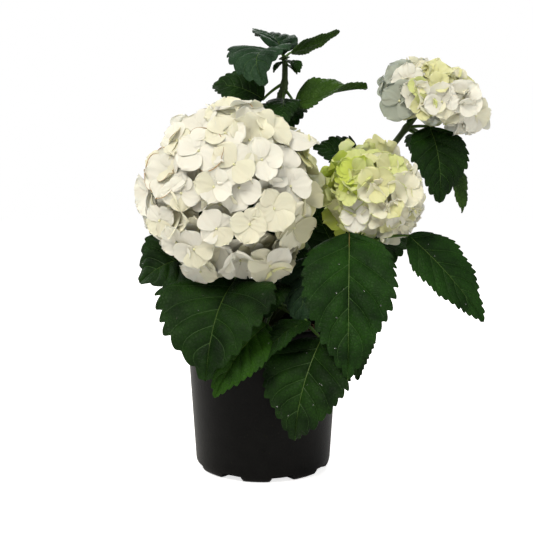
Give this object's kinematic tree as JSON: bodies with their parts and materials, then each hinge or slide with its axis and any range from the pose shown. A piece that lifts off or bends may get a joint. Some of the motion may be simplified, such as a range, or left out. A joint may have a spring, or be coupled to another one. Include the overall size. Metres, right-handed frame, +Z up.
{
  "type": "potted hydrangea shrub",
  "caption": "Potted garden shrub with serrated green leaves and rounded white flower heads, in a tapered black nursery pot.",
  "frame": {"origin": "middle of the flat underside of the pot, where the plant stands", "axes": "+Z up along the pot's axis, -Y towards the front, +X to the right seen from the front"},
  "size_m": [0.3607, 0.2833, 0.4589],
  "materials": {
    "black_plastic": "moulded satin black",
    "potting_mix": "loose moist bark and peat",
    "woody_stem": "rough bark",
    "green_stem": "smooth green shoot with fine ridges",
    "leaf_green": "satin, quilted between veins",
    "white_petal": "matt, fine veined"
  },
  "bodies": {
    "root": {"pot": "black_plastic", "potting_soil": "potting_mix", "crown": "woody_stem", "cane_large": "green_stem", "cane_medium": "green_stem", "cane_upper": "green_stem", "cane_top": "green_stem", "cane_front": "green_stem", "cane_rear": "green_stem", "cane_backLeft": "green_stem", "cane_backRight": "green_stem", "leaves_large": "leaf_green", "leaves_medium": "leaf_green", "leaves_upper": "leaf_green", "leaves_middle": "leaf_green", "leaves_top": "leaf_green", "leaves_front": "leaf_green", "leaves_rear": "leaf_green", "leaves_backLeft": "leaf_green", "leaves_backRight": "leaf_green", "bloom_large": "white_petal", "bloom_medium": "white_petal", "bloom_upper": "white_petal"}
  },
  "joints": []
}
